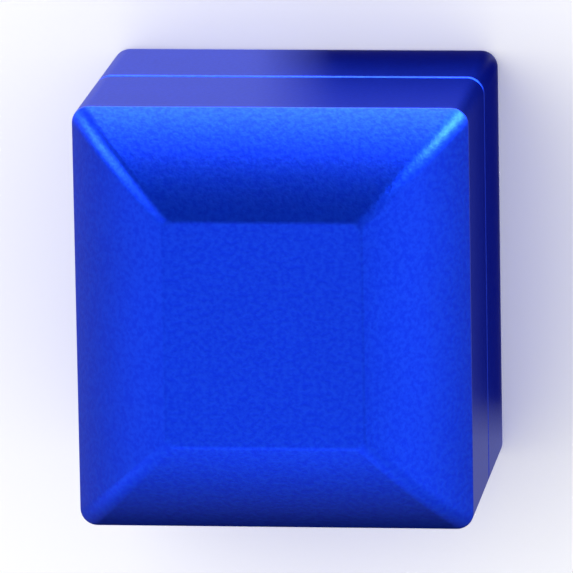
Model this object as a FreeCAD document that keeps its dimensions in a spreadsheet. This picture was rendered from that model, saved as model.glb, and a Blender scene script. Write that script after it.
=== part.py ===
import FreeCAD, Part
import math
import os

import Sketcher

# A pocket case for one cube of cue chalk: two machined aluminium shells that part half-way up
# the walls and hold together with small disc magnets. The lower shell carries a rubber sleeve
# with the chalk in it, and the lid, with its raised pyramid crown, lifts straight off.
# Millimetres. +Z points up through the crown, X is the short side, Y is the long side, and
# the origin is the middle of the plane that the rubber feet stand on.

DRIVING_SIZES = [
    # outside of the case
    ("case_width", 30.0),
    ("case_length", 32.4),
    ("corner_round", 1.3),
    ("base_height", 11.6),
    ("lid_wall_height", 12.4),
    ("parting_round", 0.45),
    ("bottom_round", 0.5),
    # crown of the lid: four bowed slopes that rise to a flat
    ("crown_run", 7.55),
    ("crown_rise", 6.25),
    ("crown_bow", 0.66),
    ("crown_middle_round", 1.1),
    ("crown_flat_round", 0.7),
    ("rim_round", 0.35),
    ("flat_edge_round", 0.9),
    # square pocket that is milled into both shells
    ("pocket_side", 24.2),
    ("pocket_round", 2.0),
    ("floor_thickness", 1.6),
    ("mouth_bevel", 0.25),
    # chalk and its paper
    ("chalk_side", 22.0),
    ("chalk_height", 21.5),
    ("chalk_round", 1.2),
    ("dish_radius", 11.0),
    ("dish_depth", 2.4),
    ("paper_thickness", 0.1),
    ("paper_height", 18.5),
    # rubber sleeve, with the collar that guides the lid
    ("sleeve_opening", 22.6),
    ("sleeve_opening_round", 1.3),
    ("collar_height", 2.0),
    ("collar_clearance", 0.15),
    ("collar_bevel", 0.3),
    ("rib_radius", 0.4),
    ("rib_reach", 0.18),
    ("rib_spacing", 12.0),
    # lining and pads
    ("base_pad_thickness", 0.8),
    ("lid_pad_thickness", 1.0),
    ("pad_gap", 0.3),
    ("lining_wall", 0.7),
    ("lining_start", 3.0),
    # magnets
    ("magnet_diameter", 3.0),
    ("magnet_thickness", 2.0),
    ("magnet_across", 25.0),
    ("magnet_along", 27.8),
    ("magnet_clearance", 0.03),
    ("magnet_sink", 0.05),
    # feet
    ("foot_diameter", 5.0),
    ("foot_proud", 0.4),
    ("foot_seat_depth", 0.8),
    ("foot_clearance", 0.03),
    ("foot_round", 0.2),
    ("foot_across", 20.4),
    ("foot_along", 22.8),
]

# Heights above the standing plane, as expressions of the driving sizes.
BASE_BOTTOM = "Sizes.foot_proud"
PARTING = f"({BASE_BOTTOM} + Sizes.base_height)"
RIM = f"({PARTING} + Sizes.lid_wall_height)"
POCKET_FLOOR = f"({BASE_BOTTOM} + Sizes.floor_thickness)"
CHALK_BOTTOM = f"({POCKET_FLOOR} + Sizes.base_pad_thickness)"
CHALK_TOP = f"({CHALK_BOTTOM} + Sizes.chalk_height)"
LID_PAD_BOTTOM = f"({CHALK_TOP} + Sizes.pad_gap)"
LID_CEILING = f"({LID_PAD_BOTTOM} + Sizes.lid_pad_thickness)"

# Corners in the order in which magnets and feet are numbered.
CORNERS = [(1, 1), (-1, 1), (-1, -1), (1, -1)]

doc = FreeCAD.newDocument("ChalkCase")
sheet = doc.addObject("Spreadsheet::Sheet", "Sizes")
for row, (alias, size) in enumerate(DRIVING_SIZES, start=1):
    sheet.set(f"A{row}", alias)
    sheet.set(f"B{row}", str(size))
    sheet.setAlias(f"B{row}", alias)
doc.recompute()

sub_parts = []


def number(expression):
    """The present value of an expression of the sheet's sizes."""
    return float(sheet.evalExpression(expression))


def new_body(name):
    """A body that becomes one sub-part."""
    body = doc.addObject("PartDesign::Body", name)
    body.Label = name
    sub_parts.append(body)
    return body


def origin_feature(body, role):
    """One of a body's own origin planes or axes."""
    return next(feature for feature in body.Origin.OriginFeatures if feature.Role == role)


def level_sketch(body, name, height):
    """An empty horizontal sketch at a height."""
    sketch = body.newObject("Sketcher::SketchObject", name)
    sketch.AttachmentSupport = [(origin_feature(body, "XY_Plane"), "")]
    sketch.MapMode = "FlatFace"
    sketch.setExpression("AttachmentOffset.Base.z", height)
    return sketch


def rounded_rectangle(sketch, width, length, corner):
    """Draw a centred rectangle with round corners, tied to three expressions."""
    half_x = number(width) / 2
    half_y = number(length) / 2
    radius = number(corner)
    inner_x = half_x - radius
    inner_y = half_y - radius
    up = FreeCAD.Vector(0, 0, 1)
    quarter = math.radians(90)
    sides = [
        ((-inner_x, -half_y), (inner_x, -half_y), (inner_x, -inner_y), -1),
        ((half_x, -inner_y), (half_x, inner_y), (inner_x, inner_y), 0),
        ((inner_x, half_y), (-inner_x, half_y), (-inner_x, inner_y), 1),
        ((-half_x, inner_y), (-half_x, -inner_y), (-inner_x, -inner_y), 2),
    ]
    for start, end, centre, turns in sides:
        line = Part.LineSegment(FreeCAD.Vector(*start, 0), FreeCAD.Vector(*end, 0))
        sketch.addGeometry(line, False)
        circle = Part.Circle(FreeCAD.Vector(*centre, 0), up, radius)
        sketch.addGeometry(Part.ArcOfCircle(circle, turns * quarter, (turns + 1) * quarter), False)
    for piece in range(8):
        sketch.addConstraint(Sketcher.Constraint("Tangent", piece, 2, (piece + 1) % 8, 1))
    for arc in (3, 5, 7):
        sketch.addConstraint(Sketcher.Constraint("Equal", 1, arc))
    sketch.addConstraint(Sketcher.Constraint("Symmetric", 0, 1, 0, 2, -2))
    sketch.addConstraint(Sketcher.Constraint("Symmetric", 2, 1, 2, 2, -1))
    sketch.addConstraint(Sketcher.Constraint("Horizontal", 4))
    sketch.addConstraint(Sketcher.Constraint("Vertical", 6))
    dimensions = [
        (Sketcher.Constraint("DistanceX", 6, 1, 2, 1, 2 * half_x), width),
        (Sketcher.Constraint("DistanceY", 0, 1, 4, 1, 2 * half_y), length),
        (Sketcher.Constraint("Radius", 1, radius), corner),
    ]
    for constraint, expression in dimensions:
        index = sketch.addConstraint(constraint)
        sketch.setExpression(f"Constraints[{index}]", expression)
    return sketch


def circles_at_corners(sketch, across, along, diameter):
    """Draw four equal circles on a centred rectangle, tied to three expressions."""
    half_x = number(across) / 2
    half_y = number(along) / 2
    radius = number(diameter) / 2
    for side_x, side_y in CORNERS:
        centre = FreeCAD.Vector(side_x * half_x, side_y * half_y, 0)
        sketch.addGeometry(Part.Circle(centre, FreeCAD.Vector(0, 0, 1), radius), False)
    for other in (1, 2, 3):
        sketch.addConstraint(Sketcher.Constraint("Equal", 0, other))
    sketch.addConstraint(Sketcher.Constraint("Symmetric", 0, 3, 1, 3, -2))
    sketch.addConstraint(Sketcher.Constraint("Symmetric", 0, 3, 2, 3, -1, 1))
    sketch.addConstraint(Sketcher.Constraint("Symmetric", 0, 3, 3, 3, -1))
    dimensions = [
        (Sketcher.Constraint("DistanceX", -1, 1, 0, 3, half_x), f"{across} / 2"),
        (Sketcher.Constraint("DistanceY", -1, 1, 0, 3, half_y), f"{along} / 2"),
        (Sketcher.Constraint("Diameter", 0, 2 * radius), diameter),
    ]
    for constraint, expression in dimensions:
        index = sketch.addConstraint(constraint)
        sketch.setExpression(f"Constraints[{index}]", expression)
    return sketch


def pad(body, name, sketch, length):
    """Raise a sketch upwards into solid material."""
    feature = body.newObject("PartDesign::Pad", name)
    feature.Profile = sketch
    feature.setExpression("Length", length)
    sketch.Visibility = False
    doc.recompute()
    return feature


def pocket(body, name, sketch, depth, upwards=False):
    """Cut a sketch down from its plane, or up from it, and make sure that it cut something."""
    before = body.Shape.Volume
    feature = body.newObject("PartDesign::Pocket", name)
    feature.Profile = sketch
    feature.Reversed = upwards
    feature.setExpression("Length", depth)
    doc.recompute()
    if body.Shape.Volume >= before:
        raise RuntimeError(f"{name} cuts nothing")
    return feature


def edges_at(body, height, reach):
    """Names of the edges that lie wholly at a height, no further than reach from the axis."""
    level = number(height)
    limit = number(reach)
    names = []
    for index, edge in enumerate(body.Shape.Edges, start=1):
        box = edge.BoundBox
        is_level = abs(box.ZMin - level) < 1e-4 and abs(box.ZMax - level) < 1e-4
        is_near = max(abs(box.XMin), abs(box.XMax)) < limit + 1e-4
        if is_level and is_near:
            names.append(f"Edge{index}")
    return names


def dress(body, kind, name, edge_names, size):
    """Round or bevel edges of a body: kind is Fillet or Chamfer."""
    base = body.Tip
    feature = body.newObject(f"PartDesign::{kind}", name)
    feature.Base = (base, edge_names)
    feature.setExpression("Radius" if kind == "Fillet" else "Size", size)
    doc.recompute()
    return feature


def outer_edges_at(body, height):
    """Edges of the outside outline at a height, as opposed to those of the pocket in it."""
    inside = set(edges_at(body, height, "Sizes.pocket_side / 2"))
    return [name for name in edges_at(body, height, "Sizes.case_width / 2") if name not in inside]


def make_base_shell():
    """Lower shell: a milled block with the square pocket, magnet seats and foot seats."""
    body = new_body("base_shell")
    outline = level_sketch(body, "BaseOutline", BASE_BOTTOM)
    rounded_rectangle(outline, "Sizes.case_width", "Sizes.case_length", "Sizes.corner_round")
    pad(body, "BaseBlock", outline, "Sizes.base_height")
    dress(body, "Fillet", "BottomRound", outer_edges_at(body, BASE_BOTTOM), "Sizes.bottom_round")
    dress(body, "Fillet", "PartingRound", outer_edges_at(body, PARTING), "Sizes.parting_round")

    opening = level_sketch(body, "BasePocketOutline", PARTING)
    rounded_rectangle(opening, "Sizes.pocket_side", "Sizes.pocket_side", "Sizes.pocket_round")
    pocket(body, "BasePocket", opening, f"{PARTING} - {POCKET_FLOOR}")

    seats = level_sketch(body, "BaseMagnetCircles", PARTING)
    seat_diameter = "(Sizes.magnet_diameter + 2 * Sizes.magnet_clearance)"
    circles_at_corners(seats, "Sizes.magnet_across", "Sizes.magnet_along", seat_diameter)
    pocket(body, "BaseMagnetSeats", seats, "Sizes.magnet_thickness + Sizes.magnet_sink")

    feet = level_sketch(body, "FootCircles", BASE_BOTTOM)
    foot_seat = "(Sizes.foot_diameter + 2 * Sizes.foot_clearance)"
    circles_at_corners(feet, "Sizes.foot_across", "Sizes.foot_along", foot_seat)
    pocket(body, "FootSeats", feet, "Sizes.foot_seat_depth", upwards=True)


def make_lid_shell():
    """Lid: straight walls, then four bowed slopes up to the flat, and the square pocket."""
    body = new_body("lid_shell")
    outline = level_sketch(body, "LidOutline", PARTING)
    rounded_rectangle(outline, "Sizes.case_width", "Sizes.case_length", "Sizes.corner_round")
    pad(body, "LidWalls", outline, "Sizes.lid_wall_height")

    # The middle section stands off the straight chord of the slope by crown_bow.
    chord = "sqrt(Sizes.crown_run * Sizes.crown_run + Sizes.crown_rise * Sizes.crown_rise)"
    inset = f"(Sizes.crown_run / 2 - Sizes.crown_bow * Sizes.crown_rise / {chord})"
    lift = f"(Sizes.crown_rise / 2 + Sizes.crown_bow * Sizes.crown_run / {chord})"
    sections = []
    stages = [
        ("CrownRim", "0", "0", "Sizes.corner_round"),
        ("CrownMiddle", inset, lift, "Sizes.crown_middle_round"),
        ("CrownFlat", "Sizes.crown_run", "Sizes.crown_rise", "Sizes.crown_flat_round"),
    ]
    for name, inwards, upwards, corner in stages:
        section = level_sketch(body, name, f"{RIM} + {upwards}")
        width = f"(Sizes.case_width - 2 * {inwards})"
        length = f"(Sizes.case_length - 2 * {inwards})"
        rounded_rectangle(section, width, length, corner)
        sections.append(section)
    crown = body.newObject("PartDesign::AdditiveLoft", "Crown")
    crown.Profile = sections[0]
    crown.Sections = sections[1:]
    crown.Ruled = False
    doc.recompute()

    flat = outer_edges_of_flat(body)
    dress(body, "Fillet", "FlatEdgeRound", flat, "Sizes.flat_edge_round")
    dress(body, "Fillet", "RimRound", outer_edges_at(body, RIM), "Sizes.rim_round")
    dress(body, "Fillet", "PartingRound", outer_edges_at(body, PARTING), "Sizes.parting_round")

    opening = level_sketch(body, "LidPocketOutline", PARTING)
    rounded_rectangle(opening, "Sizes.pocket_side", "Sizes.pocket_side", "Sizes.pocket_round")
    pocket(body, "LidPocket", opening, f"{LID_CEILING} - {PARTING}", upwards=True)
    mouth = edges_at(body, PARTING, "Sizes.pocket_side / 2")
    dress(body, "Chamfer", "MouthBevel", mouth, "Sizes.mouth_bevel")

    seats = level_sketch(body, "LidMagnetCircles", PARTING)
    seat_diameter = "(Sizes.magnet_diameter + 2 * Sizes.magnet_clearance)"
    circles_at_corners(seats, "Sizes.magnet_across", "Sizes.magnet_along", seat_diameter)
    seat_depth = "Sizes.magnet_thickness + Sizes.magnet_sink"
    pocket(body, "LidMagnetSeats", seats, seat_depth, upwards=True)


def outer_edges_of_flat(body):
    """Edges round the flat on top of the crown."""
    return edges_at(body, f"{RIM} + Sizes.crown_rise", "Sizes.case_width / 2 - Sizes.crown_run")


def make_tube(name, bottom, height, outer, outer_corner, inner, inner_corner):
    """A square tube with round corners, such as a lining or a paper wrap."""
    body = new_body(name)
    outside = level_sketch(body, f"{name}_outside", bottom)
    rounded_rectangle(outside, outer, outer, outer_corner)
    pad(body, f"{name}_block", outside, height)
    inside = level_sketch(body, f"{name}_inside", bottom)
    rounded_rectangle(inside, inner, inner, inner_corner)
    pocket(body, f"{name}_hollow", inside, height, upwards=True)
    return body


def make_sheet(name, bottom, thickness, side, corner):
    """A square pad with round corners."""
    body = new_body(name)
    outline = level_sketch(body, f"{name}_outline", bottom)
    rounded_rectangle(outline, side, side, corner)
    pad(body, f"{name}_block", outline, thickness)


def make_chalk_sleeve():
    """Rubber sleeve: fills the base pocket's walls, and its collar stands up into the lid."""
    body = new_body("chalk_sleeve")
    outline = level_sketch(body, "SleeveOutline", POCKET_FLOOR)
    rounded_rectangle(outline, "Sizes.pocket_side", "Sizes.pocket_side", "Sizes.pocket_round")
    pad(body, "SleeveBlock", outline, f"{PARTING} - {POCKET_FLOOR}")
    collar = level_sketch(body, "CollarOutline", PARTING)
    collar_side = "(Sizes.pocket_side - 2 * Sizes.collar_clearance)"
    collar_corner = "(Sizes.pocket_round - Sizes.collar_clearance)"
    rounded_rectangle(collar, collar_side, collar_side, collar_corner)
    pad(body, "Collar", collar, "Sizes.collar_height")
    collar_top = f"({PARTING} + Sizes.collar_height)"
    rim = edges_at(body, collar_top, "Sizes.pocket_side / 2")
    dress(body, "Chamfer", "CollarBevel", rim, "Sizes.collar_bevel")

    opening = level_sketch(body, "SleeveOpening", collar_top)
    corner = "Sizes.sleeve_opening_round"
    rounded_rectangle(opening, "Sizes.sleeve_opening", "Sizes.sleeve_opening", corner)
    pocket(body, "SleeveHollow", opening, f"{collar_top} - {POCKET_FLOOR}")

    # Two upright ribs on each wall grip the chalk.
    centre = "(Sizes.sleeve_opening / 2 - Sizes.rib_reach + Sizes.rib_radius)"
    ribs = level_sketch(body, "RibCircles", CHALK_BOTTOM)
    radius = number("Sizes.rib_radius")
    half_spacing = number("Sizes.rib_spacing") / 2
    for side in (1, -1):
        place = FreeCAD.Vector(side * half_spacing, number(centre), 0)
        ribs.addGeometry(Part.Circle(place, FreeCAD.Vector(0, 0, 1), radius), False)
    ribs.addConstraint(Sketcher.Constraint("Equal", 0, 1))
    ribs.addConstraint(Sketcher.Constraint("Symmetric", 0, 3, 1, 3, -2))
    dimensions = [
        (Sketcher.Constraint("DistanceX", -1, 1, 0, 3, half_spacing), "Sizes.rib_spacing / 2"),
        (Sketcher.Constraint("DistanceY", -1, 1, 0, 3, number(centre)), centre),
        (Sketcher.Constraint("Radius", 0, radius), "Sizes.rib_radius"),
    ]
    for constraint, expression in dimensions:
        index = ribs.addConstraint(constraint)
        ribs.setExpression(f"Constraints[{index}]", expression)
    rib_top = f"({PARTING} + Sizes.collar_height - Sizes.collar_bevel)"
    rib_pair = pad(body, "RibPair", ribs, f"{rib_top} - {CHALK_BOTTOM}")
    pattern = body.newObject("PartDesign::PolarPattern", "RibsOnFourWalls")
    pattern.Originals = [rib_pair]
    pattern.Axis = (origin_feature(body, "Z_Axis"), [""])
    pattern.Angle = 360
    pattern.Occurrences = 4
    body.Tip = pattern
    doc.recompute()


def make_chalk_cube():
    """The chalk: a block with round upright edges and the worn dish in its top."""
    body = new_body("chalk_cube")
    outline = level_sketch(body, "ChalkOutline", CHALK_BOTTOM)
    rounded_rectangle(outline, "Sizes.chalk_side", "Sizes.chalk_side", "Sizes.chalk_round")
    pad(body, "ChalkBlock", outline, "Sizes.chalk_height")
    before = body.Shape.Volume
    dish = body.newObject("PartDesign::SubtractiveSphere", "Dish")
    dish.AttachmentSupport = [(origin_feature(body, "XY_Plane"), "")]
    dish.MapMode = "FlatFace"
    dish.setExpression("Radius", "Sizes.dish_radius")
    centre = f"{CHALK_TOP} + Sizes.dish_radius - Sizes.dish_depth"
    dish.setExpression("AttachmentOffset.Base.z", centre)
    doc.recompute()
    if body.Shape.Volume >= before:
        raise RuntimeError("the dish cuts nothing")


def make_disc(name, diameter, thickness, bottom, centre_x, centre_y):
    """A plain upright disc."""
    disc = doc.addObject("Part::Cylinder", name)
    disc.Label = name
    disc.setExpression("Radius", f"{diameter} / 2")
    disc.setExpression("Height", thickness)
    disc.setExpression("Placement.Base.x", centre_x)
    disc.setExpression("Placement.Base.y", centre_y)
    disc.setExpression("Placement.Base.z", bottom)
    return disc


def make_magnets():
    """Four disc magnets in each shell, just below the parting faces."""
    depths = {
        "base": f"{PARTING} - Sizes.magnet_sink - Sizes.magnet_thickness",
        "lid": f"{PARTING} + Sizes.magnet_sink",
    }
    for shell, bottom in depths.items():
        for index, (side_x, side_y) in enumerate(CORNERS, start=1):
            magnet = make_disc(
                f"{shell}_magnet_{index}",
                "Sizes.magnet_diameter",
                "Sizes.magnet_thickness",
                bottom,
                f"{side_x} * Sizes.magnet_across / 2",
                f"{side_y} * Sizes.magnet_along / 2",
            )
            sub_parts.append(magnet)


def make_feet():
    """Four rubber feet, let into the bottom, with a rounded lower edge."""
    for index, (side_x, side_y) in enumerate(CORNERS, start=1):
        name = f"rubber_foot_{index}"
        disc = make_disc(
            f"{name}_disc",
            "Sizes.foot_diameter",
            "Sizes.foot_proud + Sizes.foot_seat_depth",
            "0",
            f"{side_x} * Sizes.foot_across / 2",
            f"{side_y} * Sizes.foot_along / 2",
        )
        doc.recompute()
        lower_edge = next(
            place
            for place, edge in enumerate(disc.Shape.Edges, start=1)
            if edge.BoundBox.ZMax < 1e-6
        )
        foot = doc.addObject("Part::Fillet", name)
        foot.Label = name
        foot.Base = disc
        radius = number("Sizes.foot_round")
        foot.Edges = [(lower_edge, radius, radius)]
        sub_parts.append(foot)


make_base_shell()
make_lid_shell()
make_chalk_sleeve()
make_chalk_cube()
make_magnets()
make_feet()

chalk_wrap = "(Sizes.chalk_side + 2 * Sizes.paper_thickness)"
chalk_wrap_corner = "(Sizes.chalk_round + Sizes.paper_thickness)"
make_tube(
    "chalk_paper",
    CHALK_BOTTOM,
    "Sizes.paper_height",
    chalk_wrap,
    chalk_wrap_corner,
    "Sizes.chalk_side",
    "Sizes.chalk_round",
)

lining_bottom = f"({PARTING} + Sizes.lining_start)"
make_tube(
    "lid_lining",
    lining_bottom,
    f"{LID_PAD_BOTTOM} - {lining_bottom}",
    "Sizes.pocket_side",
    "Sizes.pocket_round",
    "(Sizes.pocket_side - 2 * Sizes.lining_wall)",
    "(Sizes.pocket_round - Sizes.lining_wall)",
)
make_sheet(
    "base_pad",
    POCKET_FLOOR,
    "Sizes.base_pad_thickness",
    "Sizes.sleeve_opening",
    "Sizes.sleeve_opening_round",
)
make_sheet(
    "lid_pad",
    LID_PAD_BOTTOM,
    "Sizes.lid_pad_thickness",
    "Sizes.pocket_side",
    "Sizes.pocket_round",
)

doc.recompute()
for item in doc.Objects:
    if "Invalid" in item.State or "Error" in item.State:
        raise RuntimeError(f"{item.Name} failed: {item.State}")
for sub_part in sub_parts:
    if sub_part.Shape.isNull() or not sub_part.Shape.isValid():
        raise RuntimeError(f"{sub_part.Label} has no valid shape")

os.makedirs("parts", exist_ok=True)
for sub_part in sub_parts:
    sub_part.Shape.exportStep(f"parts/{sub_part.Label}.step")
    box = sub_part.Shape.BoundBox
    print(
        f"{sub_part.Label}: {sub_part.Shape.Volume:.1f} mm3,"
        f" {len(sub_part.Shape.Solids)} solid,"
        f" x {box.XMin:.2f} to {box.XMax:.2f},"
        f" y {box.YMin:.2f} to {box.YMax:.2f},"
        f" z {box.ZMin:.2f} to {box.ZMax:.2f}"
    )
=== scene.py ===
import math

import bmesh
import bpy
from mathutils import Matrix, Vector, noise


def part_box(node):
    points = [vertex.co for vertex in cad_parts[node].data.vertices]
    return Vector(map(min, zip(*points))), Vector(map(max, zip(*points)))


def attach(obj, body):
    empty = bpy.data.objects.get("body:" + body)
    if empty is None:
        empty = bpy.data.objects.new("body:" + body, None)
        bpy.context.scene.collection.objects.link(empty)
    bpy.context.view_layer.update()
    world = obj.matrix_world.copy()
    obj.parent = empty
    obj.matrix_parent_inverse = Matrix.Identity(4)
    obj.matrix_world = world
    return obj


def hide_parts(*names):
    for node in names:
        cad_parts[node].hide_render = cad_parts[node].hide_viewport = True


# Looks of the cue chalk case. Lengths are in metres in the CAD frame: +Z up through the crown,
# X the short side, Y the long side, the origin under the middle of the case.

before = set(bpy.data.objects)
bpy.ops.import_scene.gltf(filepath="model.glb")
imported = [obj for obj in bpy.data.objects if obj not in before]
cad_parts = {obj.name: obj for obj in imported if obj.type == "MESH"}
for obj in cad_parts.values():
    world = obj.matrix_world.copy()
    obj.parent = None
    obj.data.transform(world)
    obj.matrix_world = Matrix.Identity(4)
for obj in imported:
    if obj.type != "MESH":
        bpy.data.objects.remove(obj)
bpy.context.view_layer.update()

MM = 0.001


# ---------------------------------------------------------------- sizes, worked out from the frame

BASE_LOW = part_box("base_shell")[0]
LID_LOW, LID_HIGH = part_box("lid_shell")
CASE_WIDTH = LID_HIGH.x - LID_LOW.x
CASE_LENGTH = LID_HIGH.y - LID_LOW.y
PARTING = LID_LOW.z
CROWN_RISE = 6.25 * MM
RIM = LID_HIGH.z - CROWN_RISE
CROWN_RUN = 7.55 * MM
CROWN_BOW = 0.66 * MM
CORNER_ROUND = 1.3 * MM
FLAT_CORNER_ROUND = 0.7 * MM
PARTING_ROUND = 0.45 * MM
BOTTOM_ROUND = 0.5 * MM
RIM_ROUND = 0.35 * MM
FLAT_EDGE_ROUND = 0.9 * MM
MOUTH_BEVEL = 0.25 * MM
SEAT_CLEARANCE = 0.03 * MM
POCKET_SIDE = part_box("lid_lining")[1].x * 2
POCKET_ROUND = 2.0 * MM
POCKET_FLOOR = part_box("base_pad")[0].z
LID_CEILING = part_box("lid_pad")[1].z

CHALK_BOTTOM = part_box("chalk_cube")[0].z
CHALK_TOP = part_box("chalk_cube")[1].z
CHALK_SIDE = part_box("chalk_cube")[1].x * 2
CHALK_ROUND = 1.2 * MM
DISH_RADIUS = 11.0 * MM
DISH_DEPTH = 2.4 * MM
DISH_RIM = math.sqrt(DISH_RADIUS ** 2 - (DISH_RADIUS - DISH_DEPTH) ** 2)
WRAP_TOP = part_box("chalk_paper")[1].z
WRAP_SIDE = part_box("chalk_paper")[1].x * 2
COLLAR_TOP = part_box("chalk_sleeve")[1].z
COLLAR_CLEARANCE = 0.15 * MM
COLLAR_BEVEL = 0.3 * MM
SLEEVE_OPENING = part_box("base_pad")[1].x * 2
SLEEVE_OPENING_ROUND = 1.3 * MM
RIB_RADIUS = 0.4 * MM
RIB_REACH = 0.18 * MM
RIB_OFFSET = 6.0 * MM
LINING_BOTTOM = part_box("lid_lining")[0].z
LINING_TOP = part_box("lid_lining")[1].z
LINING_WALL = 0.7 * MM
FOOT_ROUND = 0.2 * MM

CORNERS = [(1, 1), (-1, 1), (-1, -1), (1, -1)]
ARC_STEPS = 10
BLACK = (0, 0, 0)
WHITE = (1, 1, 1)


# ---------------------------------------------------------------- mesh helpers


def rounded_loop(width, length, corner, height):
    """Points of a centred rectangle with round corners at one height, counter-clockwise."""
    points = []
    for index, (side_x, side_y) in enumerate(CORNERS):
        centre_x = side_x * (width / 2 - corner)
        centre_y = side_y * (length / 2 - corner)
        for step in range(ARC_STEPS + 1):
            angle = (index + step / ARC_STEPS) * math.pi / 2
            x = centre_x + corner * math.cos(angle)
            y = centre_y + corner * math.sin(angle)
            points.append(Vector((x, y, height)))
    return points


def skin(mesh, loops, painted_cell_shade=False):
    """Join closed loops of equal length into a solid with two end faces, or into a hollow ring."""
    rings = [[mesh.verts.new(point) for point in loop] for loop in loops]
    count = len(rings[0])
    pairs = list(zip(rings, rings[1:]))
    if painted_cell_shade:
        pairs.append((rings[-1], rings[0]))
    for lower, upper in pairs:
        for index in range(count):
            after = (index + 1) % count
            mesh.faces.new((lower[index], lower[after], upper[after], upper[index]))
    if not painted_cell_shade:
        mesh.faces.new(list(reversed(rings[0])))
        mesh.faces.new(rings[-1])


def finish_mesh(name, mesh, sharp_degrees=30):
    """Turn a bmesh into a smooth-shaded object with sharp edges where it folds."""
    bmesh.ops.recalc_face_normals(mesh, faces=mesh.faces)
    data = bpy.data.meshes.new(name)
    mesh.to_mesh(data)
    mesh.free()
    obj = bpy.data.objects.new(name, data)
    bpy.context.scene.collection.objects.link(obj)
    smooth(obj, sharp_degrees)
    return obj


def smooth(obj, sharp_degrees=30):
    """Smooth shading, with edges over an angle left sharp."""
    for face in obj.data.polygons:
        face.use_smooth = True
    obj.data.set_sharp_from_angle(angle=math.radians(sharp_degrees))


def square_outline(side, corner, stops):
    """Places round a centred square with round corners, and the outward direction at each.

    stops are the places along each straight side, as distances from its middle, falling.
    """
    straight = side / 2 - corner
    quarter = []
    for step in range(ARC_STEPS + 1):
        angle = math.pi / 2 * step / ARC_STEPS
        outward = Vector((math.cos(angle), math.sin(angle), 0))
        quarter.append((Vector((straight, straight, 0)) + corner * outward, outward))
    for stop in stops:
        quarter.append((Vector((stop, side / 2, 0)), Vector((0, 1, 0))))
    outline = []
    for turns in range(4):
        turn = Matrix.Rotation(turns * math.pi / 2, 3, "Z")
        outline += [(turn @ place, turn @ outward) for place, outward in quarter]
    return outline


def even_stops(reach, spacing):
    """Places from +reach down to -reach."""
    count = round(2 * reach / spacing)
    return [reach - 2 * reach * step / count for step in range(count + 1)]


def block_outline(side, corner, spacing):
    """Outline of a centred square block, with points about a spacing apart on its sides."""
    stops = even_stops(side / 2 - corner, spacing)
    return square_outline(side, corner, stops[1:-1])


def raised(outline, outwards, height):
    """The outline as a loop at a height, moved outwards by a distance or a list of distances."""
    if isinstance(outwards, (int, float)):
        outwards = [outwards] * len(outline)
    loop = []
    for (place, direction), distance in zip(outline, outwards):
        loop.append(place + direction * distance + Vector((0, 0, height)))
    return loop


def weather(obj, voxel, relax, wear):
    """Remesh finely, soften the edges and move each point along its normal by wear(place)."""
    remesh = obj.modifiers.new("remesh", "REMESH")
    remesh.mode = "VOXEL"
    remesh.voxel_size = voxel
    soften = obj.modifiers.new("soften", "SMOOTH")
    soften.factor = 0.5
    soften.iterations = relax
    apply_modifiers(obj)
    moved = []
    for vertex in obj.data.vertices:
        moved.append(vertex.co + vertex.normal * wear(vertex.co))
    for vertex, place in zip(obj.data.vertices, moved):
        vertex.co = place
    for face in obj.data.polygons:
        face.use_smooth = True


def lumps(place, size, seed=0.0):
    """Smooth noise from -1 to 1 with lumps of a size."""
    return noise.noise(place / size + Vector((seed, seed, seed)))


def apply_modifiers(obj):
    """Replace an object's mesh by what its modifiers make of it."""
    graph = bpy.context.evaluated_depsgraph_get()
    result = bpy.data.meshes.new_from_object(obj.evaluated_get(graph))
    obj.modifiers.clear()
    obj.data = result


def weight_normals(obj):
    """Keep flat faces flat right up to the small rounds beside them."""
    modifier = obj.modifiers.new("weights", "WEIGHTED_NORMAL")
    modifier.mode = "FACE_AREA"
    modifier.weight = 80
    modifier.keep_sharp = True
    apply_modifiers(obj)


def bend(start, radius, tilt_in, tilt_out, steps):
    """Arc of a profile, as (inwards, up) points, that turns from one tilt to another.

    A tilt of 90 degrees runs straight up, and a tilt of 0 runs level towards the middle.
    """
    centre_in = start[0] + radius * math.sin(tilt_in)
    centre_up = start[1] - radius * math.cos(tilt_in)
    points = []
    for step in range(steps + 1):
        tilt = tilt_in + (tilt_out - tilt_in) * step / steps
        inwards = centre_in - radius * math.sin(tilt)
        upwards = centre_up + radius * math.cos(tilt)
        points.append((inwards, upwards))
    return points


def corner_bend(corner, radius, tilt_in, tilt_out, steps):
    """Round off a corner of a profile."""
    tangent = radius * math.tan((tilt_in - tilt_out) / 2)
    start_in = corner[0] - tangent * math.cos(tilt_in)
    start_up = corner[1] - tangent * math.sin(tilt_in)
    return bend((start_in, start_up), radius, tilt_in, tilt_out, steps)


def quarter_round(radius, steps):
    """Distances from a sharp corner's two faces round a quarter circle: (radius, 0) to (0, radius)."""
    points = []
    for step in range(steps + 1):
        angle = math.pi / 2 * step / steps
        points.append((radius * (1 - math.sin(angle)), radius * (1 - math.cos(angle))))
    return points


def outline_at(inwards, height, corner):
    """The case's outline, drawn in by a distance."""
    return rounded_loop(CASE_WIDTH - 2 * inwards, CASE_LENGTH - 2 * inwards, corner, height)


def pocket_at(outwards, height):
    """The pocket's outline, widened by a distance."""
    side = POCKET_SIDE + 2 * outwards
    return rounded_loop(side, side, POCKET_ROUND + outwards, height)


def lathe(name, profile, centre, steps=48):
    """Turn an (radius, height) profile about an upright axis into a closed solid."""
    mesh = bmesh.new()
    loops = []
    for radius, height in profile:
        loop = []
        for step in range(steps):
            angle = 2 * math.pi * step / steps
            x = centre[0] + radius * math.cos(angle)
            y = centre[1] + radius * math.sin(angle)
            loop.append(Vector((x, y, height)))
        loops.append(loop)
    skin(mesh, loops)
    return finish_mesh(name, mesh)


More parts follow.
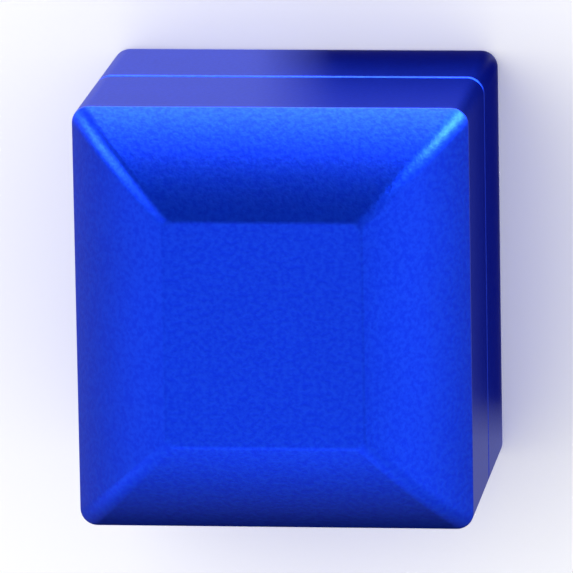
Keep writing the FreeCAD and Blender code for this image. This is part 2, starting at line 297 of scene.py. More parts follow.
def cut_holes(obj, cutters):
    """Cut closed solids out of an object, then delete them."""
    for cutter in cutters:
        modifier = obj.modifiers.new(cutter.name, "BOOLEAN")
        modifier.operation = "DIFFERENCE"
        modifier.solver = "EXACT"
        modifier.object = cutter
    apply_modifiers(obj)
    for cutter in cutters:
        bpy.data.objects.remove(cutter)


# ---------------------------------------------------------------- materials


def maths_node(tree, operation, first, second):
    """Result of a maths node on two values, each a number or a socket."""
    node = tree.nodes.new("ShaderNodeMath")
    node.operation = operation
    for socket, value in zip(node.inputs, (first, second)):
        if isinstance(value, (int, float)):
            socket.default_value = value
        else:
            tree.links.new(value, socket)
    return node.outputs["Value"]


class Recipe:
    """Builds the node tree of one material around its Principled shader."""

    def __init__(self, name):
        self.material = bpy.data.materials.new(name)
        self.material.use_nodes = True
        self.nodes = self.material.node_tree.nodes
        self.links = self.material.node_tree.links
        self.shader = self.nodes["Principled BSDF"]
        self.place = self.add("ShaderNodeTexCoord").outputs["Object"]

    def add(self, kind, **settings):
        node = self.nodes.new(kind)
        for name, value in settings.items():
            setattr(node, name, value)
        return node

    def noise(self, size, detail=2.0, roughness=0.5):
        """Noise whose features are about size metres across."""
        node = self.add("ShaderNodeTexNoise")
        node.inputs["Scale"].default_value = 1 / size
        node.inputs["Detail"].default_value = detail
        node.inputs["Roughness"].default_value = roughness
        self.links.new(self.place, node.inputs["Vector"])
        return node.outputs["Fac"]

    def ramp(self, source, stops, stepped=False):
        """Colour ramp through (position, colour) stops."""
        node = self.add("ShaderNodeValToRGB")
        node.color_ramp.interpolation = "CONSTANT" if stepped else "LINEAR"
        elements = node.color_ramp.elements
        while len(elements) < len(stops):
            elements.new(0.5)
        for element, (position, colour) in zip(elements, stops):
            element.position = position
            element.color = (*colour, 1)
        self.links.new(source, node.inputs["Fac"])
        return node.outputs["Color"]

    def spread(self, source, low, high):
        """Map 0 to 1 onto a range."""
        node = self.add("ShaderNodeMapRange")
        node.inputs["To Min"].default_value = low
        node.inputs["To Max"].default_value = high
        self.links.new(source, node.inputs["Value"])
        return node.outputs["Result"]

    def bump(self, source, depth, below=None):
        """Bump of a depth in metres, over another bump if there is one."""
        node = self.add("ShaderNodeBump")
        node.inputs["Distance"].default_value = depth
        self.links.new(source, node.inputs["Height"])
        if below is not None:
            self.links.new(below, node.inputs["Normal"])
        return node.outputs["Normal"]

    def math(self, operation, first, second):
        return maths_node(self.material.node_tree, operation, first, second)

    def channel(self, colour, name):
        """One channel of a colour."""
        node = self.add("ShaderNodeSeparateColor")
        self.links.new(colour, node.inputs["Color"])
        return node.outputs[name]

    def coordinate(self, axis):
        """X, Y or Z in the CAD frame."""
        node = self.add("ShaderNodeSeparateXYZ")
        self.links.new(self.place, node.inputs["Vector"])
        return node.outputs[axis]

    def height(self):
        return self.coordinate("Z")

    def distance_from_axis(self):
        """Distance from the case's upright middle line."""
        x = self.coordinate("X")
        y = self.coordinate("Y")
        squares = self.math("ADD", self.math("MULTIPLY", x, x), self.math("MULTIPLY", y, y))
        return self.math("SQRT", squares, 0.0)

    def fade(self, source, start, end):
        """0 up to start and 1 from end on, with a straight rise between; end may be the lower."""
        node = self.add("ShaderNodeMapRange")
        node.inputs["From Min"].default_value = start
        node.inputs["From Max"].default_value = end
        self.links.new(source, node.inputs["Value"])
        return node.outputs["Result"]

    def blend(self, share, first, second):
        """First colour where share is 0, second colour where it is 1."""
        node = self.add("ShaderNodeMix", data_type="RGBA")
        self.links.new(share, node.inputs["Factor"])
        for socket, value in ((node.inputs[6], first), (node.inputs[7], second)):
            if isinstance(value, tuple):
                socket.default_value = (*value, 1)
            else:
                self.links.new(value, socket)
        return node.outputs[2]

    def scale_colour(self, colour, factor):
        """A colour made lighter or darker by a factor."""
        node = self.add("ShaderNodeVectorMath", operation="SCALE")
        self.links.new(colour, node.inputs[0])
        self.links.new(factor, node.inputs["Scale"])
        return node.outputs["Vector"]

    def join(self, source, socket):
        self.links.new(source, self.shader.inputs[socket])

    def set(self, **values):
        for socket, value in values.items():
            self.shader.inputs[socket.replace("_", " ")].default_value = value


CHALK_DUST_ON_RUBBER = (0.10, 0.26, 0.52)
CHALK_DUST_ON_FOAM = (0.12, 0.30, 0.58)
CHALK_DUST_ON_PAPER = (0.14, 0.32, 0.60)


def speck_mask(recipe, spacing, radius, share):
    """White dots of one radius, in a random share of the cells of a spacing."""
    cells = recipe.add("ShaderNodeTexVoronoi")
    cells.inputs["Scale"].default_value = 1 / spacing
    recipe.links.new(recipe.place, cells.inputs["Vector"])
    is_near = recipe.math("LESS_THAN", cells.outputs["Distance"], radius / spacing)
    chosen = recipe.math("LESS_THAN", recipe.channel(cells.outputs["Color"], "Red"), share)
    return recipe.math("MULTIPLY", is_near, chosen)


def anodised(name):
    """Bead-blasted aluminium under a clear deep blue anodic layer: recipe, grain and colour."""
    deep = (0.0002, 0.040, 0.92)
    light = (0.0034, 0.061, 0.98)
    recipe = Recipe(name)
    recipe.set(Metallic=1.0, Coat_Weight=0.29, Coat_Roughness=0.30, Coat_IOR=1.35)
    grain = recipe.noise(0.36 * MM, detail=1, roughness=0.6)
    blue = recipe.ramp(grain, [(0.34, deep), (0.66, light)])
    cloud = recipe.noise(7 * MM, detail=3)
    return recipe, grain, recipe.scale_colour(blue, recipe.spread(cloud, 0.94, 1.06))


def anodised_outside():
    """The outside of the shells: even satin grain, and a few specks of dust."""
    recipe, grain, blue = anodised("anodised_blue")
    dust = speck_mask(recipe, spacing=3.6 * MM, radius=0.09 * MM, share=0.22)
    dust_colour = (0.25, 0.38, 1.0)
    recipe.join(recipe.blend(dust, blue, dust_colour), "Base Color")
    fine = recipe.noise(0.12 * MM, detail=2)
    recipe.join(recipe.spread(fine, 0.31, 0.41), "Roughness")
    coarse = recipe.bump(grain, depth=0.014 * MM)
    blasted = recipe.bump(fine, depth=0.004 * MM, below=coarse)
    recipe.join(blasted, "Normal")
    recipe.join(blasted, "Coat Normal")
    return recipe.material


def anodised_pocket():
    """The milled pockets: the same colour over fine level tool marks."""
    recipe, grain, blue = anodised("anodised_pocket")
    recipe.join(blue, "Base Color")
    marks = recipe.add("ShaderNodeTexWave", wave_type="BANDS", bands_direction="Z")
    mark_scale = 1.2 * MM
    marks.inputs["Scale"].default_value = 1 / mark_scale
    marks.inputs["Distortion"].default_value = 0.6
    marks.inputs["Detail"].default_value = 2.0
    recipe.links.new(recipe.place, marks.inputs["Vector"])
    recipe.join(recipe.spread(grain, 0.22, 0.36), "Roughness")
    coarse = recipe.bump(grain, depth=0.004 * MM)
    recipe.join(recipe.bump(marks.outputs["Fac"], depth=0.006 * MM, below=coarse), "Normal")
    return recipe.material


def chalk_blue():
    """Pressed chalk: granular, powdery, darker and smoother where cue tips have polished the dish."""
    recipe = Recipe("chalk_blue")
    dark = (0.050, 0.215, 0.56)
    light = (0.090, 0.31, 0.70)
    pale = (0.30, 0.52, 0.82)
    cloud = recipe.noise(2.5 * MM, detail=4, roughness=0.6)
    powder = recipe.ramp(cloud, [(0.3, dark), (0.7, light)])
    grit = recipe.noise(0.22 * MM, detail=4, roughness=0.8)
    powder = recipe.scale_colour(powder, recipe.spread(grit, 0.30, 1.65))
    in_dish = recipe.fade(recipe.distance_from_axis(), DISH_RIM, DISH_RIM - 2 * MM)
    top_only = recipe.fade(recipe.height(), CHALK_TOP - 4 * MM, CHALK_TOP - 3 * MM)
    polished = recipe.math("MULTIPLY", in_dish, top_only)
    worn = recipe.scale_colour(powder, recipe.spread(polished, 1.0, 0.62))
    pale_grains = speck_mask(recipe, spacing=0.9 * MM, radius=0.09 * MM, share=0.35)
    recipe.join(recipe.blend(pale_grains, worn, pale), "Base Color")
    recipe.join(recipe.spread(polished, 0.97, 0.70), "Roughness")
    pits = recipe.bump(grit, depth=0.09 * MM)
    hollows = recipe.noise(0.7 * MM, detail=3)
    recipe.join(recipe.bump(hollows, depth=0.08 * MM, below=pits), "Normal")
    recipe.set(Specular_IOR_Level=0.04, Sheen_Weight=0.15, Sheen_Roughness=0.6)
    return recipe.material


def wrapper_paper():
    """Thin printed paper: a plain blue band with two pale lines, rubbed with chalk at its top."""
    recipe = Recipe("wrapper_paper")
    level = recipe.fade(recipe.height(), WRAP_TOP - 7.5 * MM, WRAP_TOP)
    white = (0.74, 0.75, 0.73)
    print_blue = (0.030, 0.085, 0.30)
    print_gold = (0.62, 0.47, 0.16)
    stops = [(0.0, white), (0.30, print_blue), (0.66, print_gold), (0.70, print_blue), (0.86, white)]
    printed = recipe.ramp(level, stops, stepped=True)
    fibres = recipe.noise(0.5 * MM, detail=4, roughness=0.7)
    printed = recipe.scale_colour(printed, recipe.spread(fibres, 0.82, 1.12))
    rubbed = recipe.fade(recipe.height(), WRAP_TOP - 4.5 * MM, WRAP_TOP + 0.5 * MM)
    smear = recipe.ramp(recipe.noise(1.6 * MM, detail=4, roughness=0.7), [(0.42, BLACK), (0.66, WHITE)])
    dust = recipe.math("MULTIPLY", rubbed, smear)
    recipe.join(recipe.blend(dust, printed, CHALK_DUST_ON_PAPER), "Base Color")
    recipe.join(recipe.spread(fibres, 0.48, 0.68), "Roughness")
    recipe.join(recipe.bump(fibres, depth=0.015 * MM), "Normal")
    return recipe.material


def moulded_rubber(name, colour, dusty_from, dusty_to):
    """Matt black moulded rubber, with chalk dust between two heights."""
    recipe = Recipe(name)
    grain = recipe.noise(0.22 * MM, detail=3, roughness=0.6)
    dark = tuple(0.7 * part for part in colour)
    rubber = recipe.ramp(recipe.noise(3 * MM, detail=3), [(0.35, dark), (0.65, colour)])
    where = recipe.fade(recipe.height(), dusty_from, dusty_to)
    powder = recipe.ramp(recipe.noise(0.30 * MM, detail=4, roughness=0.8), [(0.44, BLACK), (0.86, WHITE)])
    dust = recipe.math("MULTIPLY", where, powder)
    recipe.join(recipe.blend(dust, rubber, CHALK_DUST_ON_RUBBER), "Base Color")
    recipe.join(recipe.spread(grain, 0.52, 0.70), "Roughness")
    recipe.join(recipe.bump(grain, depth=0.014 * MM), "Normal")
    recipe.set(Specular_IOR_Level=0.22)
    return recipe.material


def open_foam(name, colour, stain):
    """Open-cell foam with visible cells, their hollows darkened with painted shade, stained by the chalk
    that rests on it.
    """
    recipe = Recipe(name)
    cells = recipe.add("ShaderNodeTexVoronoi", feature="DISTANCE_TO_EDGE")
    cell_size = 0.45 * MM
    cells.inputs["Scale"].default_value = 1 / cell_size
    recipe.links.new(recipe.place, cells.inputs["Vector"])
    walls = recipe.ramp(cells.outputs["Distance"], [(0.02, WHITE), (0.16, BLACK)])
    # Painted shade: the middle of each cell is coloured darker, as if shaded in its hollow; the cell
    # walls keep the foam's own colour.
    painted_cell_shade = tuple(0.45 * part for part in colour)
    foam = recipe.blend(walls, painted_cell_shade, colour)
    smear = recipe.ramp(recipe.noise(2.2 * MM, detail=4, roughness=0.7), [(0.40, BLACK), (0.68, WHITE)])
    inside = recipe.fade(recipe.distance_from_axis(), 12 * MM, 7 * MM)
    dust = recipe.math("MULTIPLY", recipe.math("MULTIPLY", smear, inside), stain)
    recipe.join(recipe.blend(dust, foam, CHALK_DUST_ON_FOAM), "Base Color")
    recipe.join(recipe.spread(walls, 0.95, 0.80), "Roughness")
    recipe.join(recipe.bump(walls, depth=0.10 * MM), "Normal")
    recipe.set(Specular_IOR_Level=0.2)
    return recipe.material


def nickel_plate():
    """Bright nickel on the magnets, with fine scratches and a few dull spots."""
    recipe = Recipe("nickel_plate")
    dull = (0.58, 0.56, 0.52)
    bright = (0.72, 0.70, 0.66)
    scratch_width = 0.08 * MM
    cloud = recipe.noise(0.9 * MM, detail=3)
    recipe.join(recipe.ramp(cloud, [(0.3, dull), (0.7, bright)]), "Base Color")
    scratch = recipe.add("ShaderNodeTexNoise")
    scratch.inputs["Scale"].default_value = 1 / scratch_width
    scratch.inputs["Detail"].default_value = 2.0
    squash = recipe.add("ShaderNodeMapping")
    squash.inputs["Rotation"].default_value = (0, 0, math.radians(35))
    squash.inputs["Scale"].default_value = (1.0, 0.05, 1.0)
    recipe.links.new(recipe.place, squash.inputs["Vector"])
    recipe.links.new(squash.outputs["Vector"], scratch.inputs["Vector"])
    recipe.join(recipe.spread(scratch.outputs["Fac"], 0.14, 0.38), "Roughness")
    recipe.join(recipe.bump(scratch.outputs["Fac"], depth=0.0015 * MM), "Normal")
    recipe.set(Metallic=1.0)
    return recipe.material


def dress(obj, material, body, slot, *nodes):
    """Give a piece its material, its body and the CAD nodes that it stands for."""
    obj.data.materials.clear()
    obj.data.materials.append(material)
    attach(obj, body)
    if nodes:
        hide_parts(*nodes)


# ---------------------------------------------------------------- the two shells


def crown_profile():
    """Rim round, bowed slope and the round at the flat's edge, as (inwards, height) points."""
    chord_tilt = math.atan2(CROWN_RISE, CROWN_RUN)
    half_chord = math.hypot(CROWN_RISE, CROWN_RUN) / 2
    half_turn = 2 * math.atan2(CROWN_BOW, half_chord)
    slope_radius = half_chord / math.sin(half_turn)
    rim_tilt = chord_tilt + half_turn
    flat_tilt = chord_tilt - half_turn
    trim_rim = RIM_ROUND * math.tan((math.pi / 2 - rim_tilt) / 2) / slope_radius
    trim_flat = FLAT_EDGE_ROUND * math.tan(flat_tilt / 2) / slope_radius

    steps = 48
    rim = corner_bend((0, RIM), RIM_ROUND, math.pi / 2, rim_tilt, 6)
    whole_slope = bend((0, RIM), slope_radius, rim_tilt, flat_tilt, steps)
    first = math.ceil(steps * trim_rim / (2 * half_turn)) + 1
    last = steps - math.ceil(steps * trim_flat / (2 * half_turn)) - 1
    slope = whole_slope[first:last + 1]
    flat_corner = (CROWN_RUN, RIM + CROWN_RISE)
    edge = corner_bend(flat_corner, FLAT_EDGE_ROUND, flat_tilt, 0, 8)
    return rim + slope + edge


def magnet_cutters(direction):
    """Closed cylinders where the magnets' seats are: direction is -1 for the base, 1 for the lid."""
    shell = "base" if direction < 0 else "lid"
    cutters = []
    for index in (1, 2, 3, 4):
        low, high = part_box(f"{shell}_magnet_{index}")
        radius = (high.x - low.x) / 2 + SEAT_CLEARANCE
        bottom = high.z if direction > 0 else low.z
        centre = (low + high) / 2
        flare = 0.1 * MM
        profile = [
            (radius, bottom),
            (radius, PARTING + direction * flare),
            (radius + flare, PARTING),
            (radius + flare, PARTING - direction * flare),
        ]
        cutters.append(lathe(f"cutter_{index}", profile, centre))
    return cutters


def edge_round(level, radius, upwards):
    """Outlines of a rounded edge between a level face and the upright wall.

    With upwards they run from the face below up the wall, otherwise from the wall to the face above.
    """
    outlines = []
    for inwards, off_level in quarter_round(radius, 8):
        height = level + off_level if upwards else level - off_level
        outlines.append(outline_at(inwards, height, CORNER_ROUND - inwards))
    return outlines if upwards else list(reversed(outlines))


def finish_shell(shell, body, node):
    """Shade a shell: the outside is bead-blasted, and the pocket shows tool marks."""
    smooth(shell)
    weight_normals(shell)
    dress(shell, SHELL_FINISH, body, "anodised_shell", node)
    shell.data.materials.append(POCKET_FINISH)
    reach = POCKET_SIDE / 2 + MOUTH_BEVEL
    slack = 0.01 * MM
    for face in shell.data.polygons:
        place = face.center
        is_inside = max(abs(place.x), abs(place.y)) < reach + slack
        is_pocket = is_inside and POCKET_FLOOR - slack < place.z < LID_CEILING + slack
        face.material_index = 1 if is_pocket else 0


def make_lid():
    loops = [pocket_at(0, LID_CEILING)]
    loops.append(pocket_at(0, PARTING + MOUTH_BEVEL))
    loops.append(pocket_at(MOUTH_BEVEL, PARTING))
    loops += edge_round(PARTING, PARTING_ROUND, upwards=True)
    for inwards, height in crown_profile():
        share = min(max(inwards / CROWN_RUN, 0), 1)
        corner = CORNER_ROUND + (FLAT_CORNER_ROUND - CORNER_ROUND) * share
        loops.append(outline_at(inwards, height, corner))
    mesh = bmesh.new()
    skin(mesh, loops)
    lid = finish_mesh("lid", mesh)
    cut_holes(lid, magnet_cutters(1))
    finish_shell(lid, "lid", "lid_shell")


def foot_cutters():
    """Closed cylinders where the feet are let into the bottom."""
    cutters = []
    for index in (1, 2, 3, 4):
        low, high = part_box(f"rubber_foot_{index}")
        radius = (high.x - low.x) / 2 + SEAT_CLEARANCE
        profile = [(radius, low.z - MM), (radius, high.z)]
        cutters.append(lathe(f"foot_cutter_{index}", profile, (low + high) / 2))
    return cutters


def make_base():
    loops = edge_round(BASE_LOW.z, BOTTOM_ROUND, upwards=True)
    loops += edge_round(PARTING, PARTING_ROUND, upwards=False)
    loops.append(pocket_at(0, PARTING))
    loops.append(pocket_at(0, POCKET_FLOOR))
    mesh = bmesh.new()
    skin(mesh, loops)
    base = finish_mesh("base", mesh)
    cut_holes(base, magnet_cutters(-1) + foot_cutters())
    finish_shell(base, "base", "base_shell")


# ---------------------------------------------------------------- chalk, paper and rubber


def chalk_wear(place):
    """How far the chalk's surface has crumbled: everywhere a little, more along the bare edges."""
    beside = sorted([
        CHALK_SIDE / 2 - abs(place.x),
        CHALK_SIDE / 2 - abs(place.y),
        CHALK_TOP - place.z,
    ])
    if place.z <= WRAP_TOP:
        return -0.03 * MM
    near_edge = max(0, 1 - max(beside[1], 0) / MM)
    pitted = max(0, lumps(place, 0.5 * MM) - 0.2) * 0.30 * MM
    uneven = (1 + lumps(place, 1.4 * MM, seed=7)) * 0.03 * MM
    nibbled = max(0, lumps(place, 0.7 * MM, seed=23) + 0.10) * 0.34 * MM
    broken = max(0, lumps(place, 2.6 * MM, seed=41) - 0.15) * 0.60 * MM
    chipped = (nibbled + broken) * near_edge
    return -(pitted + uneven + chipped)


def make_chalk():
    outline = block_outline(CHALK_SIDE, CHALK_ROUND, 2 * MM)
    mesh = bmesh.new()
    skin(mesh, [raised(outline, 0, CHALK_BOTTOM), raised(outline, 0, CHALK_TOP)])
    chalk = finish_mesh("chalk", mesh)
    centre = CHALK_TOP + DISH_RADIUS - DISH_DEPTH
    sphere = []
    steps = 24
    for step in range(1, steps):
        angle = math.pi * step / steps
        sphere.append((DISH_RADIUS * math.sin(angle), centre - DISH_RADIUS * math.cos(angle)))
    cut_holes(chalk, [lathe("dish_cutter", sphere, (0, 0), steps=96)])
    weather(chalk, voxel=0.25 * MM, relax=5, wear=chalk_wear)
    dress(chalk, CHALK_FINISH, "base", "chalk", "chalk_cube")


def make_wrapper():
    """The paper round the chalk: creased, with a ragged upper edge and an overlapped end."""
    outline = block_outline(CHALK_SIDE, CHALK_ROUND, 0.4 * MM)
    flap_end = 3.5 * MM
    thickness = WRAP_SIDE / 2 - CHALK_SIDE / 2
    single_layer = 0.65 * thickness
    on_flap = []
    for place, outward in outline:
        is_flap_side = outward.y < -0.99
        covered = min(max((place.x - flap_end) / (0.1 * MM), 0), 1) if is_flap_side else 0
        is_beyond = place.x > 0 and place.y < 0 and not is_flap_side
        if is_beyond:
            covered = min(max(-place.y / (CHALK_SIDE / 2), 0), 1)
        on_flap.append(covered)

    def outside(height):
        distances = []
        for (place, _), covered in zip(outline, on_flap):
            crease = 0.25 * thickness * (lumps(place + Vector((0, 0, height)), 2.5 * MM) - 1) / 2
            distances.append(single_layer + (thickness - single_layer) * covered + crease)
        return distances

    rows = 24
    heights = [CHALK_BOTTOM + (WRAP_TOP - CHALK_BOTTOM) * row / rows for row in range(rows + 1)]
    loops = [raised(outline, outside(height), height) for height in heights]
    loops.append(raised(outline, 0, WRAP_TOP))
    loops.append(raised(outline, 0, CHALK_BOTTOM))
    for loop in (loops[rows], loops[rows + 1]):
        for point, (place, _) in zip(loop, outline):
            point.z -= 0.10 * MM * (1 + lumps(place, 0.8 * MM, seed=3))
    mesh = bmesh.new()
    skin(mesh, loops, painted_cell_shade=True)
    wrapper = finish_mesh("wrapper", mesh, sharp_degrees=50)
    dress(wrapper, PAPER_FINISH, "base", "chalk_paper", "chalk_paper")


def rib_height(stop):
    """How far the sleeve's ribs stand off the wall at a place along it."""
    beside = abs(stop) - RIB_OFFSET
    if abs(beside) >= RIB_RADIUS:
        return 0
    return max(0, math.sqrt(RIB_RADIUS ** 2 - beside ** 2) - RIB_RADIUS + RIB_REACH)


def make_sleeve():
    """Rubber sleeve in the base's pocket, with eight ribs inside and a collar above the parting."""
    half_rib = math.sqrt(RIB_RADIUS ** 2 - (RIB_RADIUS - RIB_REACH) ** 2)
    stops = even_stops(9 * MM, 1.5 * MM)
    stops = [stop for stop in stops if abs(abs(stop) - RIB_OFFSET) > half_rib]
    for side in (-1, 1):
        stops += [side * RIB_OFFSET + offset for offset in even_stops(half_rib, half_rib / 4)]
    stops.sort(reverse=True)
    outer = square_outline(POCKET_SIDE, POCKET_ROUND, stops)
    inner = square_outline(SLEEVE_OPENING, SLEEVE_OPENING_ROUND, stops)
    ribs = []
    for _ in range(4):
        ribs += [0] * (ARC_STEPS + 1) + [rib_height(stop) for stop in stops]

    loops = [raised(outer, 0, POCKET_FLOOR), raised(outer, 0, PARTING)]
    loops.append(raised(outer, -COLLAR_CLEARANCE, PARTING))
    for drop, inwards in quarter_round(COLLAR_BEVEL, 5):
        loops.append(raised(outer, -(COLLAR_CLEARANCE + inwards), COLLAR_TOP - drop))
    lip = 0.12 * MM
    for outwards, drop in quarter_round(lip, 5):
        loops.append(raised(inner, outwards, COLLAR_TOP - drop))
    # The ribs run out at the top: distance below their end, share of their full height.
    rib_top = COLLAR_TOP - COLLAR_BEVEL
    for drop, share in ((0, 0), (0.1 * MM, 0.5), (0.25 * MM, 0.85), (0.45 * MM, 1)):
        loops.append(raised(inner, [-share * rib for rib in ribs], rib_top - drop))
    loops.append(raised(inner, [-rib for rib in ribs], CHALK_BOTTOM + 0.1 * MM))
    loops.append(raised(inner, 0, CHALK_BOTTOM))
    loops.append(raised(inner, 0, POCKET_FLOOR))
    mesh = bmesh.new()
    skin(mesh, loops, painted_cell_shade=True)
    sleeve = finish_mesh("sleeve", mesh, sharp_degrees=40)
    weight_normals(sleeve)
    dress(sleeve, SLEEVE_FINISH, "base", "sleeve_rubber", "chalk_sleeve")


def make_lining():
    """Rubber lining on the lid's walls, with a round lower lip."""
    stops = even_stops(9.6 * MM, 1.2 * MM)
    outer = square_outline(POCKET_SIDE, POCKET_ROUND, stops)
    inner = square_outline(POCKET_SIDE - 2 * LINING_WALL, POCKET_ROUND - LINING_WALL, stops)
    loops = [raised(outer, 0, LINING_TOP)]
    lip = quarter_round(LINING_WALL / 2, 6)
    for rise, inwards in lip:
        loops.append(raised(outer, -inwards, LINING_BOTTOM + rise))
    for outwards, rise in lip[1:]:
        loops.append(raised(inner, outwards, LINING_BOTTOM + rise))
    loops.append(raised(inner, 0, LINING_TOP))
    mesh = bmesh.new()
    skin(mesh, loops, painted_cell_shade=True)
    lining = finish_mesh("lining", mesh, sharp_degrees=50)
    weight_normals(lining)
    dress(lining, LINING_FINISH, "lid", "lining_rubber", "lid_lining")


def make_foam(name, finish, body, node, corner):
    """Die-cut foam pad: slightly hollow sides, a soft edge and an uneven open-cell face."""
    low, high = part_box(node)
    side = high.x - low.x
    middle = (low.z + high.z) / 2

    def give(place):
        on_face = min(1, abs(place.z - middle) / (0.3 * (high.z - low.z)))
        cells = max(0, lumps(place, 0.35 * MM)) * 0.10 * MM
        pinch = 0.12 * MM * (1 - on_face)
        return -(cells + pinch)

    outline = block_outline(side, corner, 2 * MM)
    mesh = bmesh.new()
    skin(mesh, [raised(outline, 0, low.z), raised(outline, 0, high.z)])
    foam = finish_mesh(name, mesh)
    weather(foam, voxel=0.2 * MM, relax=3, wear=give)
    dress(foam, finish, body, "foam_pad", node)


# ---------------------------------------------------------------- magnets and feet


def rounded_disc(low, high, bottom_round, top_round):
    """Profile of a disc with rounded edges, as (radius, height) points from the bottom up."""
    radius = (high.x - low.x) / 2
    bottom = [(radius - inwards, low.z + rise) for inwards, rise in quarter_round(bottom_round, 5)]
    top = [(radius - inwards, high.z - drop) for drop, inwards in quarter_round(top_round, 5)]
    return bottom + top


def make_magnets():
    edge = 0.18 * MM
    for body in ("base", "lid"):
        for index in (1, 2, 3, 4):
            node = f"{body}_magnet_{index}"
            low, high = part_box(node)
            profile = rounded_disc(low, high, edge, edge)
            magnet = lathe(f"{body}_disc_{index}", profile, (low + high) / 2)
            weight_normals(magnet)
            dress(magnet, MAGNET_FINISH, body, "magnet_nickel", node)


def make_feet():
    """Rubber feet with a shallow moulded dimple underneath."""
    for index in (1, 2, 3, 4):
        node = f"rubber_foot_{index}"
        low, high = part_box(node)
        radius = (high.x - low.x) / 2
        depth = 0.12 * MM
        dimple = [(0.40 * radius, low.z + depth), (0.52 * radius, low.z + 0.8 * depth)]
        dimple += [(0.60 * radius, low.z + 0.2 * depth), (0.66 * radius, low.z)]
        profile = dimple + rounded_disc(low, high, FOOT_ROUND, 0.05 * MM)
        foot = lathe(f"foot_{index}", profile, (low + high) / 2)
        weight_normals(foot)
        dress(foot, FOOT_FINISH, "base", "foot_rubber", node)


FOAM_GREY = (0.035, 0.036, 0.040)
SHELL_FINISH = anodised_outside()
POCKET_FINISH = anodised_pocket()
CHALK_FINISH = chalk_blue()
PAPER_FINISH = wrapper_paper()
SLEEVE_FINISH = moulded_rubber("sleeve_rubber", (0.018, 0.018, 0.020), PARTING - MM, COLLAR_TOP)
LINING_FINISH = moulded_rubber("lining_rubber", (0.022, 0.022, 0.024), LINING_BOTTOM, LINING_TOP)
# The feet are far below their dust heights, so they stay clean.
FOOT_FINISH = moulded_rubber("foot_rubber", (0.020, 0.020, 0.021), 50 * MM, 60 * MM)
MAGNET_FINISH = nickel_plate()
LID_FOAM = open_foam("lid_foam", FOAM_GREY, stain=0.85)
BASE_FOAM = open_foam("base_foam", FOAM_GREY, stain=0.35)

make_lid()
make_base()
make_chalk()
make_wrapper()
make_sleeve()
make_lining()
make_foam("lid_cushion", LID_FOAM, "lid", "lid_pad", POCKET_ROUND)
make_foam("base_cushion", BASE_FOAM, "base", "base_pad", SLEEVE_OPENING_ROUND)
make_magnets()
make_feet()


# ---------------------------------------------------------------- floor, lights and camera


def make_floor():
    mesh = bmesh.new()
    bmesh.ops.create_grid(mesh, x_segments=4, y_segments=4, size=1.5)
    floor = finish_mesh("floor", mesh)
    recipe = Recipe("floor")
    recipe.set(Base_Color=(0.93, 0.93, 0.935, 1), Roughness=0.8)
    floor.data.materials.append(recipe.material)
    # The metal mirrors the soft sources below the horizon too, in place of the floor.
    floor.visible_glossy = False


def make_cards():
    """Dark blue cards with a soft edge, beside the case, which only its walls mirror."""
    gap = 0.2 * MM
    reach = 12 * MM
    height = 0.1 * MM
    right = LID_HIGH.x + gap
    back = LID_HIGH.y + gap
    # Axis of the soft edge, where it is clear and where it is solid, lowest x and y, highest x and y.
    cards = [
        ("X", -4 * MM, 2 * MM, (-4 * MM, back), (right + reach, back + reach)),
        ("Y", -15 * MM, -11.5 * MM, (right, -15 * MM), (right + reach, back)),
    ]
    for index, (axis, clear, solid, low, high) in enumerate(cards, start=1):
        mesh = bmesh.new()
        places = [(low[0], low[1]), (high[0], low[1]), (high[0], high[1]), (low[0], high[1])]
        mesh.faces.new([mesh.verts.new((x, y, height)) for x, y in places])
        card = finish_mesh(f"card_{index}", mesh)
        recipe = Recipe(f"card_{index}")
        recipe.set(Base_Color=(0, 0, 0, 1), Specular_IOR_Level=0.0)
        recipe.set(Emission_Color=(0.006, 0.006, 0.11, 1), Emission_Strength=1.0)
        recipe.join(recipe.fade(recipe.coordinate(axis), clear, solid), "Alpha")
        card.data.materials.append(recipe.material)
        card.visible_camera = False
        card.visible_diffuse = False
        card.visible_shadow = False


# Soft sources round the case, as the metal mirrors them: azimuth from +Y towards +X and elevation
# in degrees, sharpness of the falloff, brightness. The ones below zero are black flags.
GLOW = 0.30
SOURCES = [
    (30, 0, 12, 4.7),
    (60, 0, 12, 2.4),
    (45, 20, 60, 25),
    (0, -20, 12, 5.6),
    (-60, 20, 60, 11),
    (-60, 42, 40, 1.3),
    (-60, -20, 12, 2.0),
    (-45, -45, 8, 0.8),
    (-120, 20, 12, 0.86),
    (-113, 57, 20, 0.19),
    (110, 25, 9, 0.80),
    (180, 40, 8, 0.9),
    (190, 78, 8, 0.38),
    (0, 45, 8, -0.29),
    (0, -80, 8, -0.30),
    (90, -60, 8, 0.25),
    (180, -42, 12, -0.5),
]
ROOM_LIGHT = 0.88


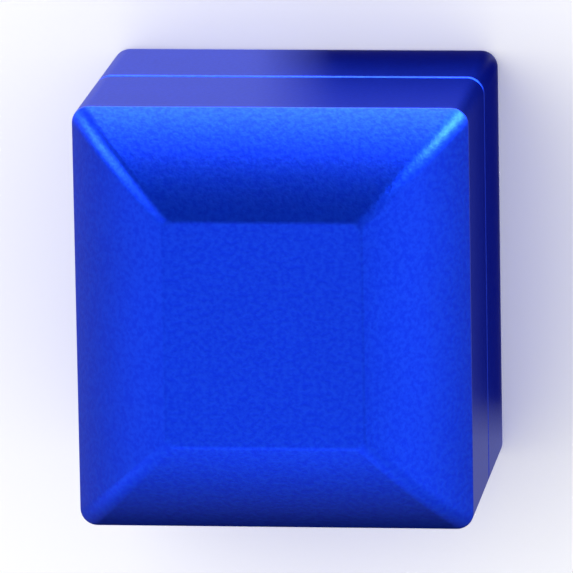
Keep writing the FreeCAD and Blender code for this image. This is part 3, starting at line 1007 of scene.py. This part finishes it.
def make_world():
    """An even pale room for the light on things, and soft sources for what the metal mirrors."""
    world = bpy.data.worlds.new("studio")
    world.use_nodes = True
    bpy.context.scene.world = world
    nodes = world.node_tree.nodes
    links = world.node_tree.links
    direction = nodes.new("ShaderNodeTexCoord").outputs["Generated"]

    def calculate(operation, first, second):
        return maths_node(world.node_tree, operation, first, second)

    total = GLOW
    for azimuth, elevation, sharpness, brightness in SOURCES:
        turn = math.radians(azimuth)
        rise = math.radians(elevation)
        towards = nodes.new("ShaderNodeVectorMath")
        towards.operation = "DOT_PRODUCT"
        links.new(direction, towards.inputs[0])
        level = math.cos(rise)
        towards.inputs[1].default_value = (math.sin(turn) * level, math.cos(turn) * level, math.sin(rise))
        facing = calculate("MAXIMUM", towards.outputs["Value"], 0.0)
        glow = calculate("MULTIPLY", calculate("POWER", facing, sharpness), brightness)
        total = calculate("ADD", glow, total)
    mirrored = calculate("MAXIMUM", total, 0.0)

    path = nodes.new("ShaderNodeLightPath").outputs
    is_first_bounce = calculate("LESS_THAN", path["Diffuse Depth"], 0.5)
    is_mirrored = calculate("MULTIPLY", path["Is Glossy Ray"], is_first_bounce)
    difference = calculate("SUBTRACT", mirrored, ROOM_LIGHT)
    strength = calculate("ADD", calculate("MULTIPLY", difference, is_mirrored), ROOM_LIGHT)
    links.new(strength, nodes["Background"].inputs["Strength"])
    nodes["Background"].inputs["Color"].default_value = (1, 1, 1, 1)


KEY_PLACE = (-0.20, 0.12, 0.60)
KEY_DIAMETER = 0.45
KEY_WATTS = 1.4


def make_key_light():
    """A broad lamp high on the left that shapes the matt pieces; the metal doesn't mirror it."""
    data = bpy.data.lights.new("key", "AREA")
    data.shape = "DISK"
    data.size = KEY_DIAMETER
    data.energy = KEY_WATTS
    key = bpy.data.objects.new("key", data)
    key.location = KEY_PLACE
    key.rotation_euler = (-key.location).to_track_quat("-Z", "Y").to_euler()
    key.visible_camera = False
    key.visible_glossy = False
    bpy.context.scene.collection.objects.link(key)


# Where the camera stands and what it looks at, from the middle of the rim, in case widths.
CAMERA_PLACE = Vector((2.634, 4.711, 21.604))
CAMERA_AIM = Vector((0.0353, 0.0817, 0))
CAMERA_ROLL = -0.99
CAMERA_LENS = 556.9


def make_camera():
    """Camera that looks down on the crown, a little from the +X and +Y sides."""
    rim_middle = Vector((0, 0, RIM))
    place = rim_middle + CASE_WIDTH * CAMERA_PLACE
    aim = rim_middle + CASE_WIDTH * CAMERA_AIM
    forward = (aim - place).normalized()
    right = forward.cross(Vector((0, 1, 0))).normalized()
    up = right.cross(forward)
    upright = Matrix((right, up, -forward)).transposed()
    roll = Matrix.Rotation(math.radians(CAMERA_ROLL), 3, "Z")
    data = bpy.data.cameras.new("camera")
    data.sensor_width = 36
    data.lens = CAMERA_LENS
    data.clip_start = 0.01
    camera = bpy.data.objects.new("camera", data)
    camera.matrix_world = Matrix.Translation(place) @ (upright @ roll).to_4x4()
    bpy.context.scene.collection.objects.link(camera)
    bpy.context.scene.camera = camera


make_floor()
make_cards()
make_world()
make_key_light()
make_camera()
bpy.context.scene.view_settings.view_transform = "Standard"
